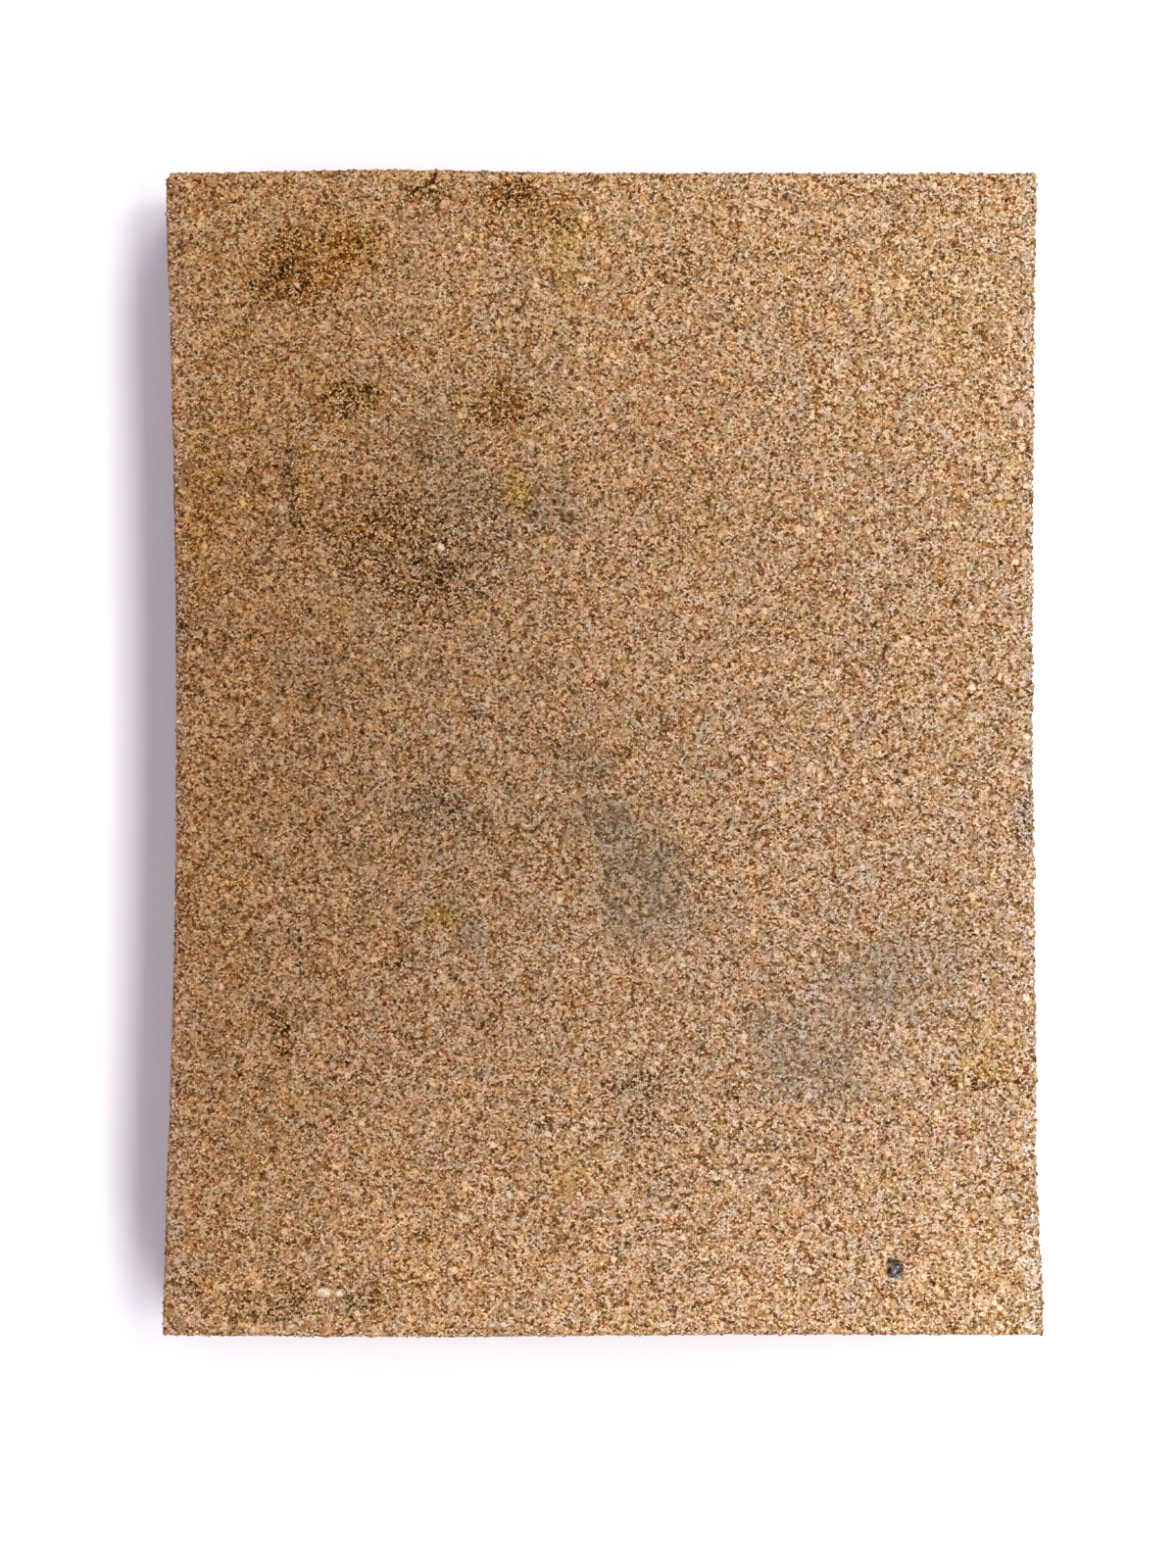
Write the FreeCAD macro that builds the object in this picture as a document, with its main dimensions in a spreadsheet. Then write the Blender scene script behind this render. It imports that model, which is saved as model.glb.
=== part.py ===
import FreeCAD, Part
import Sketcher
import os

# A hand sanding block of fine agglomerated cork: a plain rectangular block, 120 x 90 x 30 mm, that use
# has waisted a little along both long sides. A dark crumb of grit sits in a pit of the upper face,
# three oversized pale granules show there, and a few granules and one fibre stand out of the worn
# right side.
#
# Frame: +X to the right and +Y to the head end, seen from above; +Z up. The origin is the centre of
# the sole, the broad face that the block rests on. All sizes are in millimetres.

PARTS_FOLDER = "parts"

SIZES = {
    # the block
    "block_length": 120.0,
    "block_width": 90.4,        # at the foot end, where it is widest
    "block_height": 30.0,
    "head_taper": 1.1,          # the head end is this much narrower
    "head_shift": 0.2,          # and its middle lies this far to the left
    "left_wear": 1.3,           # how far each long side bows in at mid length
    "right_wear": 0.9,
    "corner_radius": 0.6,       # upright corners
    "worn_corner_radius": 1.2,  # the upright corner at the head end's left
    "arris_radius": 0.4,        # the edges round both broad faces
    # what bonds a granule: every seat is larger than its granule by this film all round
    "binder_film": 0.05,
    # the crumb of grit and its pit
    "grit_width": 1.6,
    "grit_height": 1.1,
    "pit_depth": 0.9,
    "pit_clearance": 0.15,      # at the pit's floor, beside the grit
    "pit_flare": 0.35,          # how much further out the pit opens at the face
    "grit_from_right": 15.1,
    "grit_from_foot": 6.8,
    # how far a pale granule's crown stands above the upper face
    "chip_stand": 0.1,
    # the curled fibre on the right side
    "fibre_curl_radius": 0.55,
    "fibre_radius": 0.1,
    "fibre_from_foot": 48.0,
    "fibre_below_face": 1.2,
}

# Each oversized pale granule: length along X, width along Y and thickness along Z, then its place
# from the block's left side and from its foot end.
PALE_CHIPS = {
    "pale_chip_large": {"long": 1.6, "wide": 1.1, "thick": 0.8, "from_left": 16.5, "from_foot": 4.6},
    "pale_chip_small": {"long": 0.9, "wide": 0.8, "thick": 0.6, "from_left": 18.0, "from_foot": 4.5},
    "pale_chip_upper": {"long": 0.8, "wide": 1.0, "thick": 0.6, "from_left": 28.5, "from_foot": 81.2},
}

# Each granule that stands out of the right side: its radius, how far its centre lies inside the
# side, and its place from the foot end and below the upper face.
EDGE_GRANULES = [
    {"radius": 0.40, "sunk": 0.15, "from_foot": 115.0, "below_face": 1.0},
    {"radius": 0.32, "sunk": 0.10, "from_foot": 111.6, "below_face": 2.1},
    {"radius": 0.36, "sunk": 0.15, "from_foot": 109.4, "below_face": 0.9},
    {"radius": 0.30, "sunk": 0.10, "from_foot": 46.0, "below_face": 0.9},
    {"radius": 0.42, "sunk": 0.15, "from_foot": 22.2, "below_face": 1.1},
    {"radius": 0.34, "sunk": 0.15, "from_foot": 14.0, "below_face": 2.4},
    {"radius": 0.45, "sunk": 0.20, "from_foot": 8.1, "below_face": 1.2},
]

# The grit's outline, in grit widths from its middle, in order round the crumb.
GRIT_CORNERS = [(0.46, 0.16), (0.14, 0.44), (-0.30, 0.34), (-0.48, -0.04), (-0.16, -0.44), (0.34, -0.34)]
GRIT_TAPER_DEG = -14.0          # its sides lean in towards the top
FIBRE_SWEEP_DEG = 150.0         # how far round the fibre curls


def fill_sheet(doc):
    """Put every driving size in the spreadsheet, each under its own alias."""
    sheet = doc.addObject("Spreadsheet::Sheet", "sizes")
    rows = dict(SIZES)
    for name, chip in PALE_CHIPS.items():
        rows.update({f"{name}_{key}": value for key, value in chip.items()})
    for number, granule in enumerate(EDGE_GRANULES, 1):
        rows.update({f"granule{number}_{key}": value for key, value in granule.items()})
    for row, (alias, value) in enumerate(rows.items(), 1):
        sheet.set(f"A{row}", alias)
        sheet.set(f"B{row}", str(value))
        sheet.setAlias(f"B{row}", alias)
    doc.recompute()
    return sheet


def new_body(doc, label):
    """An empty body that carries the label its node is named after."""
    body = doc.addObject("PartDesign::Body", label)
    body.Label = label
    return body


def origin_plane(body, role):
    """One of the body's own origin planes, by its role."""
    return next(item for item in body.Origin.OriginFeatures if item.Role == role)


def new_sketch(body, name, role="XY_Plane"):
    """A sketch on one of the body's own origin planes."""
    sketch = body.newObject("Sketcher::SketchObject", name)
    sketch.AttachmentSupport = (origin_plane(body, role), [""])
    sketch.MapMode = "FlatFace"
    return sketch


def bind(item, bindings):
    """Tie several properties to expressions over the spreadsheet."""
    for prop, expression in bindings.items():
        item.setExpression(prop, expression)


def place_point(sketch, geometry, end, x_expression, y_expression):
    """Tie one end of a sketch edge to a place measured from the sketch's origin."""
    for kind, expression in (("DistanceX", x_expression), ("DistanceY", y_expression)):
        point = sketch.getPoint(geometry, end)
        value = point.x if kind == "DistanceX" else point.y
        index = sketch.addConstraint(Sketcher.Constraint(kind, -1, 1, geometry, end, value))
        sketch.setExpression(f"Constraints[{index}]", expression)


def side_radius(wear):
    """The radius of a long side that bows in by `wear` over the block's length, as an expression."""
    return f"sizes.block_length ^ 2 / (8 * sizes.{wear}) + sizes.{wear} / 2"


def right_side_x(from_foot):
    """Where the bowed right side lies at a distance from the foot end, as an expression."""
    share = f"({from_foot}) / sizes.block_length"
    straight = f"sizes.block_width / 2 - (sizes.head_taper / 2 + sizes.head_shift) * {share}"
    return f"{straight} - 4 * sizes.right_wear * {share} * (1 - {share})"


def draw_block_outline(sketch, sizes):
    """Two straight ends and two long sides that bow in."""
    half_length = sizes["block_length"] / 2
    half_foot = sizes["block_width"] / 2
    half_head = half_foot - sizes["head_taper"] / 2
    shift = sizes["head_shift"]
    foot_left = FreeCAD.Vector(-half_foot, -half_length)
    foot_right = FreeCAD.Vector(half_foot, -half_length)
    head_right = FreeCAD.Vector(half_head - shift, half_length)
    head_left = FreeCAD.Vector(-half_head - shift, half_length)
    right_middle = (foot_right + head_right) / 2 - FreeCAD.Vector(sizes["right_wear"], 0)
    left_middle = (foot_left + head_left) / 2 + FreeCAD.Vector(sizes["left_wear"], 0)

    foot = sketch.addGeometry(Part.LineSegment(foot_left, foot_right))
    head = sketch.addGeometry(Part.LineSegment(head_right, head_left))
    right = sketch.addGeometry(Part.Arc(foot_right, right_middle, head_right))
    left = sketch.addGeometry(Part.Arc(head_left, left_middle, foot_left))

    # an arc runs anticlockwise from its start, so a side that bows in starts at its far end
    start, end = 1, 2
    for arc, before, before_end, after, after_end in (
        (right, foot, end, head, start),
        (left, head, end, foot, start),
    ):
        near = sketch.getPoint(before, before_end)
        starts_near = sketch.getPoint(arc, start).distanceToPoint(near) < 1.0
        first, last = (start, end) if starts_near else (end, start)
        sketch.addConstraint(Sketcher.Constraint("Coincident", before, before_end, arc, first))
        sketch.addConstraint(Sketcher.Constraint("Coincident", after, after_end, arc, last))

    half_head_text = "(sizes.block_width - sizes.head_taper) / 2"
    place_point(sketch, foot, start, "-sizes.block_width / 2", "-sizes.block_length / 2")
    place_point(sketch, foot, end, "sizes.block_width / 2", "-sizes.block_length / 2")
    place_point(sketch, head, start, f"{half_head_text} - sizes.head_shift", "sizes.block_length / 2")
    place_point(sketch, head, end, f"-{half_head_text} - sizes.head_shift", "sizes.block_length / 2")
    for arc, wear in ((right, "right_wear"), (left, "left_wear")):
        radius = sizes["block_length"] ** 2 / (8 * sizes[wear]) + sizes[wear] / 2
        index = sketch.addConstraint(Sketcher.Constraint("Radius", arc, radius))
        sketch.setExpression(f"Constraints[{index}]", side_radius(wear))


def upright_corners(shape, wanted):
    """Names of the block's upright corner edges whose middle passes the test."""
    names = []
    for number, edge in enumerate(shape.Edges, 1):
        low, high = edge.BoundBox.ZMin, edge.BoundBox.ZMax
        upright = high - low > edge.BoundBox.XLength + edge.BoundBox.YLength
        if upright and wanted(edge.CenterOfMass):
            names.append(f"Edge{number}")
    return names


def flat_rims(shape):
    """Names of the edges that lie in the block's lowest or highest plane."""
    box = shape.BoundBox
    names = []
    for number, edge in enumerate(shape.Edges, 1):
        level = edge.BoundBox.ZLength < 1e-4
        rim = min(abs(edge.BoundBox.ZMin - box.ZMin), abs(edge.BoundBox.ZMax - box.ZMax)) < 1e-4
        if level and rim:
            names.append(f"Edge{number}")
    return names


def add_fillet(body, name, base, edge_names, radius_alias):
    """Round the named edges of the body's last feature."""
    fillet = body.newObject("PartDesign::Fillet", name)
    fillet.Base = (base, edge_names)
    fillet.setExpression("Radius", f"sizes.{radius_alias}")
    body.Document.recompute()
    return fillet


def attach_upright(body, feature, place):
    """Stand a primitive on the body's XY plane, its axis up, at a place given by expressions."""
    feature.AttachmentSupport = (origin_plane(body, "XY_Plane"), [""])
    feature.MapMode = "FlatFace"
    bind(feature, {f"AttachmentOffset.Base.{axis}": text for axis, text in zip("xyz", place)})


def attach_sideways(body, feature, place):
    """The same on the YZ plane, with the primitive's axis along X, square to a long side."""
    feature.AttachmentSupport = (origin_plane(body, "YZ_Plane"), [""])
    feature.MapMode = "FlatFace"
    x_text, y_text, z_text = place
    bind(feature, {
        "AttachmentOffset.Base.x": y_text,
        "AttachmentOffset.Base.y": z_text,
        "AttachmentOffset.Base.z": x_text,
    })


def add_chip_seat(body, name):
    """Cut the hollow that a pale granule is bonded in: its own form, larger by the film."""
    seat = body.newObject("PartDesign::SubtractiveEllipsoid", f"{name}_seat")
    attach_upright(body, seat, chip_place(name))
    half_long, half_wide, half_thick = chip_radii(name)
    bind(seat, {
        "Radius1": f"{half_thick} + sizes.binder_film",
        "Radius2": f"{half_long} + sizes.binder_film",
        "Radius3": f"{half_wide} + sizes.binder_film",
    })
    return seat


def add_granule_seat(body, number):
    """Cut the hollow in the right side that a round granule is bonded in."""
    seat = body.newObject("PartDesign::SubtractiveSphere", f"granule{number}_seat")
    attach_sideways(body, seat, granule_place(number))
    seat.setExpression("Radius", f"sizes.granule{number}_radius + sizes.binder_film")
    return seat


def chip_radii(name):
    """Half of a pale granule's length, width and thickness, as expressions."""
    return [f"sizes.{name}_{key} / 2" for key in ("long", "wide", "thick")]


def chip_place(name):
    """The centre of a pale granule, whose crown stands just above the upper face."""
    return (
        f"-sizes.block_width / 2 + sizes.{name}_from_left",
        f"-sizes.block_length / 2 + sizes.{name}_from_foot",
        f"sizes.block_height + sizes.chip_stand - sizes.{name}_thick / 2",
    )


def granule_numbers():
    """The edge granules are numbered from 1, from the head end to the foot."""
    return range(1, len(EDGE_GRANULES) + 1)


def granule_place(number):
    """The centre of an edge granule, sunk into the right side."""
    name = f"sizes.granule{number}"
    return (
        f"{right_side_x(name + '_from_foot')} - {name}_sunk",
        f"-sizes.block_length / 2 + {name}_from_foot",
        f"sizes.block_height - {name}_below_face",
    )


def grit_place(z_expression):
    """The axis of the grit and its pit, at a given height."""
    return (
        "sizes.block_width / 2 - sizes.grit_from_right",
        "-sizes.block_length / 2 + sizes.grit_from_foot",
        z_expression,
    )


def add_pit(body):
    """Cut the flared pit in the upper face that the grit lies in."""
    pit = body.newObject("PartDesign::SubtractiveCone", "grit_pit")
    attach_upright(body, pit, grit_place("sizes.block_height - sizes.pit_depth"))
    floor_radius = "sizes.grit_width / 2 + sizes.pit_clearance"
    bind(pit, {
        "Radius1": floor_radius,
        "Radius2": f"{floor_radius} + sizes.pit_flare",
        "Height": "sizes.pit_depth",
    })
    return pit


def make_cork_block(doc, sizes):
    """The block, with its worn corners and arrises, the grit's pit and every granule's seat."""
    body = new_body(doc, "cork_block")
    outline = new_sketch(body, "block_outline")
    draw_block_outline(outline, sizes)
    pad = body.newObject("PartDesign::Pad", "block_pad")
    pad.Profile = outline
    pad.setExpression("Length", "sizes.block_height")
    doc.recompute()

    def is_worn(point):
        return point.x < 0 and point.y > 0

    worn = add_fillet(body, "worn_corner", pad, upright_corners(pad.Shape, is_worn), "worn_corner_radius")
    others = upright_corners(worn.Shape, lambda point: abs(point.y) > sizes["block_length"] / 2 - 1e-3)
    corners = add_fillet(body, "corners", worn, others, "corner_radius")
    add_fillet(body, "arrises", corners, flat_rims(corners.Shape), "arris_radius")

    add_pit(body)
    for name in PALE_CHIPS:
        add_chip_seat(body, name)
    for number in granule_numbers():
        add_granule_seat(body, number)
    doc.recompute()
    return body


def make_lodged_grit(doc, sizes):
    """The angular crumb that lies on the floor of its pit."""
    body = new_body(doc, "lodged_grit")
    outline = new_sketch(body, "grit_outline")
    width = sizes["grit_width"]
    points = [FreeCAD.Vector(x * width, y * width) for x, y in GRIT_CORNERS]
    count = len(points)
    for index in range(count):
        outline.addGeometry(Part.LineSegment(points[index], points[(index + 1) % count]))
    for index in range(count):
        outline.addConstraint(Sketcher.Constraint("Coincident", index, 2, (index + 1) % count, 1))
    for index, (x, y) in enumerate(GRIT_CORNERS):
        place_point(outline, index, 1, f"sizes.grit_width * {x}", f"sizes.grit_width * {y}")
    pad = body.newObject("PartDesign::Pad", "grit_pad")
    pad.Profile = outline
    pad.TaperAngle = GRIT_TAPER_DEG
    pad.setExpression("Length", "sizes.grit_height")
    set_place(body, grit_place("sizes.block_height - sizes.pit_depth"))
    doc.recompute()
    return body


def set_place(item, place):
    """Tie where an object stands to three expressions."""
    bind(item, {f"Placement.Base.{axis}": text for axis, text in zip("xyz", place)})


def make_pale_chip(doc, name):
    """An oversized pale granule of cork, a flattened rounded grain."""
    chip = doc.addObject("Part::Ellipsoid", name)
    chip.Label = name
    half_long, half_wide, half_thick = chip_radii(name)
    bind(chip, {"Radius1": half_thick, "Radius2": half_long, "Radius3": half_wide})
    set_place(chip, chip_place(name))
    return chip


def make_edge_granule(doc, number):
    """One round granule that stands out of the right side."""
    granule = doc.addObject("Part::Sphere", f"granule{number}")
    granule.setExpression("Radius", f"sizes.granule{number}_radius")
    set_place(granule, granule_place(number))
    return granule


def make_edge_granules(doc):
    """The granules that stand out of the worn right side, as one group of separate solids."""
    group = doc.addObject("Part::Compound", "edge_granules")
    group.Label = "edge_granules"
    group.Links = [make_edge_granule(doc, number) for number in granule_numbers()]
    return group


def make_edge_fibre(doc):
    """A curled fibre, rooted square on the right side and curling back towards the foot end."""
    fibre = doc.addObject("Part::Torus", "edge_fibre")
    fibre.Label = "edge_fibre"
    fibre.Angle1 = -180
    fibre.Angle2 = 180
    fibre.Angle3 = FIBRE_SWEEP_DEG
    turned = FreeCAD.Rotation(FreeCAD.Vector(0, 0, 1), 90 - FIBRE_SWEEP_DEG)
    fibre.Placement = FreeCAD.Placement(FreeCAD.Vector(), turned)
    bind(fibre, {"Radius1": "sizes.fibre_curl_radius", "Radius2": "sizes.fibre_radius"})
    set_place(fibre, (
        right_side_x("sizes.fibre_from_foot"),
        "-sizes.block_length / 2 + sizes.fibre_from_foot - sizes.fibre_curl_radius",
        "sizes.block_height - sizes.fibre_below_face",
    ))
    return fibre


def check(doc, nodes):
    """Stop if any object failed to build, or a node's shape is empty, broken or not solid."""
    doc.recompute()
    for item in doc.Objects:
        if "Invalid" in item.State or "Error" in item.State:
            raise RuntimeError(f"{item.Label} failed: {item.State}")
    for node in nodes:
        shape = node.Shape
        if shape.isNull() or not shape.isValid() or not shape.Solids:
            raise RuntimeError(f"{node.Label} has no sound solid")
        print(f"{node.Label:18s} {len(shape.Solids)} solid(s) {shape.Volume:12.4f} mm3")


def main():
    doc = FreeCAD.newDocument("cork_sanding_block")
    fill_sheet(doc)
    nodes = [make_cork_block(doc, SIZES), make_lodged_grit(doc, SIZES)]
    nodes += [make_pale_chip(doc, name) for name in PALE_CHIPS]
    nodes += [make_edge_granules(doc), make_edge_fibre(doc)]
    check(doc, nodes)
    os.makedirs(PARTS_FOLDER, exist_ok=True)
    for node in nodes:
        node.Shape.exportStep(f"{PARTS_FOLDER}/{node.Label}.step")


main()
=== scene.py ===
import math

import bmesh
import bpy
import numpy as np
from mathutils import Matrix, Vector
from mathutils import noise as fine_noise


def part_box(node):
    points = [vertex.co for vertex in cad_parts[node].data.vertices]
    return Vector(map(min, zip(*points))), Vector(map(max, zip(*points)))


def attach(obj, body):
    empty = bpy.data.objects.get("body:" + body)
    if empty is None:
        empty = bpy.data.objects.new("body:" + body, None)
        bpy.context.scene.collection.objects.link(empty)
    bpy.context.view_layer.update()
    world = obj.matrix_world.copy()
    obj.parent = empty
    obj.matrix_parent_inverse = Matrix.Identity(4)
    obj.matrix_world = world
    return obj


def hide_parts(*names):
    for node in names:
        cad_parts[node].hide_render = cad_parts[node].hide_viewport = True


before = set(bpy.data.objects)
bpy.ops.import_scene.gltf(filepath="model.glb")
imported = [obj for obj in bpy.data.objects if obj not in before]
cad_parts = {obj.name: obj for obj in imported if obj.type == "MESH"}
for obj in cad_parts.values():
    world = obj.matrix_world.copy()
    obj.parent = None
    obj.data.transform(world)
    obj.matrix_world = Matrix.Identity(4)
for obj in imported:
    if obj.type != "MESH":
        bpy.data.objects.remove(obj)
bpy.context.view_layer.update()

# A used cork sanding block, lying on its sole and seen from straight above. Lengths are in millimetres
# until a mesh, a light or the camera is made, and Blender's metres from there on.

MM = 0.001
SEED = 20

# The block's worn outline, seen from above with its head at +Y.
BLOCK_LOW, BLOCK_HIGH = (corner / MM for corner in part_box("cork_block"))
BLOCK_SIZE = BLOCK_HIGH - BLOCK_LOW
HEAD_INSET = (0.35, 0.75)        # how much narrower the head is, left and right
LEFT_WEAR = 1.23                 # how far the left side is hollowed by handling
LEFT_WEAR_SHAPE = 1.35           # above 1, the hollow is narrower than a parabola
RIGHT_WEAR = 0.72
SIDE_PROUD = 0.14                # the left side's granules stand this far out of the CAD's smooth side
RIGHT_PROUD = 1.4 * SIDE_PROUD
RIGHT_DIP = (0.15, 0.07, 0.30)   # a further dip just above the flared right foot, along the length
HEAD_DROP = 0.28                 # the head edge stands this far in, but for one proud stretch
HEAD_SWELL = (-21.7, 14.0, 0.36)     # that stretch's place, spread and height
FOOT_DROP = 0.18
FOOT_SWELL = (-17.7, 18.0, 0.24)
WAVES = {                        # each side's waviness: height, length and random seed
    "left": (0.05, 4.0, 11),
    "right": (0.07, 2.5, 12),
    "head": (0.05, 3.0, 13),
    "foot": (0.05, 3.0, 14),
}
ARRIS_RADIUS = 0.35
CORNER_RADIUS = {(-1, 1): 1.1, (1, 1): 0.55, (-1, -1): 0.3, (1, -1): 0.3}
TOP_ZONE = 6.0                   # the upper face's dips fade out over this depth
DIP_DEPTH = 0.05
DIP_SIZE = 14.0
TINY = 1e-6

# The mesh grid: even lines with closer ones next to the arrises.
GRID_STEP = 0.30
RIM_LINES = (0.0, 0.08, 0.17, 0.27, 0.40, 0.58)
FINE_REACH = 1.5                 # the lines are closer together within this distance of the grit

# Where each face of the block lies on its bake map, in parts of the map's width: left, bottom, parts
# per millimetre, and whether it is turned on its side. A face is its axis and its end, 0 or 1.
MAP_PARTS = 1024.0
CHARTS = {
    (2, 1): (4.0, 4.0, 7.0, False),
    (2, 0): (798.0, 590.0, 2.45, False),
    (1, 1): (4.0, 852.0, 4.8, False),
    (1, 0): (645.0, 588.0, 4.75, True),
    (0, 0): (645.0, 4.0, 4.8, True),
    (0, 1): (798.0, 4.0, 4.8, True),
}

# The agglomerated cork: granules, the gaps between them, and their relief.
GRANULE = 0.228
BIG_GRANULE = 0.56
BIG_SHARE = 0.06
CALM_BASE = (0.28, 0.25, 0.25)   # a big granule's random numbers are this, and this share of its own,
CALM_SHARE = 0.5                 # so that big granules are neither very dark nor very pale
WARP_SIZE = 0.20
WARP_REACH = 0.18
GAP = 0.040
PIT_REACH = 2.2 * GAP
PIT_RELIEF = 0.070
STEP_RELIEF = 0.035
FINE_SIZE = 0.12
FINE_RELIEF = 0.010

# How rough each side is next to the upper face, whose own roughness is 1, and how far in from the
# straight block's face that side's worn surface may lie.
SIDE_COARSENESS = {"left": 1.1, "right": 2.2, "head": 1.7, "foot": 1.4}
SIDE_BAND = {"left": 1.5, "right": 1.5, "head": 0.9, "foot": 0.6}
TOP_RIM = 0.5                    # this close to the upper face, a side's own coarseness fades
RIM_COARSENESS = 0.3             # to this share of it

# The studio light on the floor, as a multiple of what shows as plain white. Colours are given as the
# photograph's exposure shows them, and divided by this to get the surface's own colour.
LIGHT_LEVEL = 1.26

# What is lodged in the upper face, and the seats that the face has under it. The grit's seat is its
# x and y from the grit's middle, its radius and its depth. A chip's radius is a share of its width.
GRIT_LOW, GRIT_HIGH = (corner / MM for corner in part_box("lodged_grit"))
GRIT = (GRIT_LOW + GRIT_HIGH) / 2.0
GRIT_SEAT = (-0.15, 0.15, 1.15, 0.6)
CHIPS = ("pale_chip_large", "pale_chip_small", "pale_chip_upper")
CHIP_SEAT_SHARE = 0.62
CHIP_SEAT_DEPTH = 0.18
SEAT_FLOOR = 0.45                # the flat floor's share of a seat's radius

# The proud granules along the edges: how many each side has, and their size next to the usual one.
EDGE_GRAINS = {"left": (110, 1.0), "right": (420, 1.35), "foot": (170, 1.0), "head": (230, 1.0)}
GRAIN_RADII = (0.09, 0.22)
GRAIN_STRETCH = (0.7, 1.3)
GRAIN_SUNK = (0.45, 0.3)         # how far it is sunk into its side, and down, as shares of its size
NEAR_TOP_SHARE = 0.72
NEAR_TOP = (0.12, 0.30)          # how far under the upper face those are, and the spread of that
CAD_GRAIN_GAP = 0.25             # the CAD's proud granules are at least this far apart along the block
CAD_GRAIN_SIZE = 1.05            # the cut stones' size next to them

# Granules round the curled fibre's root: how far up the block from the fibre, how far under the
# upper face, and the radius. They stand out of the side by TUFT_OUT.
TUFT_OUT = 0.24
TUFT = ((-0.10, 0.45, 0.32), (-0.50, 0.40, 0.24), (0.35, 0.35, 0.20), (-0.85, 0.30, 0.16))

# The curled fibre.
FIBRE_SWEEP = 150.0              # degrees
FIBRE_TAPER = 0.72               # how much of its thickness is gone at its tip
FIBRE_LIFT = 0.25                # how far its tip rises
FIBRE_WAVES = (0.12, 9.0)        # the unevenness of its thickness: how much, and radians in its length
FIBRE_RINGS = 40
FIBRE_SIDES = 12
UP = np.array((0.0, 0.0, 1.0))


# ---------------------------------------------------------------- small helpers

def smoothstep(low, high, value):
    part = np.clip((value - low) / (high - low), 0.0, 1.0)
    return part * part * (3.0 - 2.0 * part)


KNOTS = 96                       # the random field repeats after so many of its features
FIELD_START = (41.3, 43.7)       # the field's place at the block's middle, in features


def drift(x, y, size, seed):
    """A smooth random field between -1 and 1, with features about `size` across. Each use has its own
    seed."""
    knots = np.random.default_rng(SEED + seed).uniform(-1.0, 1.0, (KNOTS + 1, KNOTS + 1))
    gx = x / size + FIELD_START[0]
    gy = y / size + FIELD_START[1]
    ix = np.floor(gx).astype(int)
    iy = np.floor(gy).astype(int)
    fx = smoothstep(0.0, 1.0, gx - ix)
    fy = smoothstep(0.0, 1.0, gy - iy)
    ix, iy = ix % KNOTS, iy % KNOTS
    low = knots[ix, iy] * (1.0 - fx) + knots[ix + 1, iy] * fx
    high = knots[ix, iy + 1] * (1.0 - fx) + knots[ix + 1, iy + 1] * fx
    return low * (1.0 - fy) + high * fy


def swell(value, centre, spread, height):
    """A smooth hump."""
    return height * np.exp(-((value - centre) / spread) ** 2)


def layered_drift(x, y, size, seed):
    """Drift with two finer layers on top of it."""
    total = drift(x, y, size, seed)
    total = total + 0.5 * drift(x, y, size / 2.1, seed + 1)
    return (total + 0.25 * drift(x, y, size / 4.3, seed + 2)) / 1.4


def new_object(name, data):
    piece = bpy.data.objects.new(name, data)
    bpy.context.scene.collection.objects.link(piece)
    return piece


def smooth_mesh(name, points, faces):
    """A smooth shaded mesh from points in millimetres and a list or an array of faces."""
    faces = faces if isinstance(faces, list) else faces.tolist()
    mesh = bpy.data.meshes.new(name)
    mesh.from_pydata(np.asarray(points) * MM, [], faces)
    mesh.polygons.foreach_set("use_smooth", np.ones(len(mesh.polygons), bool))
    mesh.update()
    return mesh


def add_colours(mesh, name, tints):
    """Stores a colour for each point. A fourth column that the tints leave out is 1."""
    attribute = mesh.color_attributes.new(name, "FLOAT_COLOR", "POINT")
    colour = np.ones((len(tints), 4), np.float32)
    colour[:, :tints.shape[1]] = tints
    attribute.data.foreach_set("color", colour.ravel())


# ---------------------------------------------------------------- node building

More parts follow.
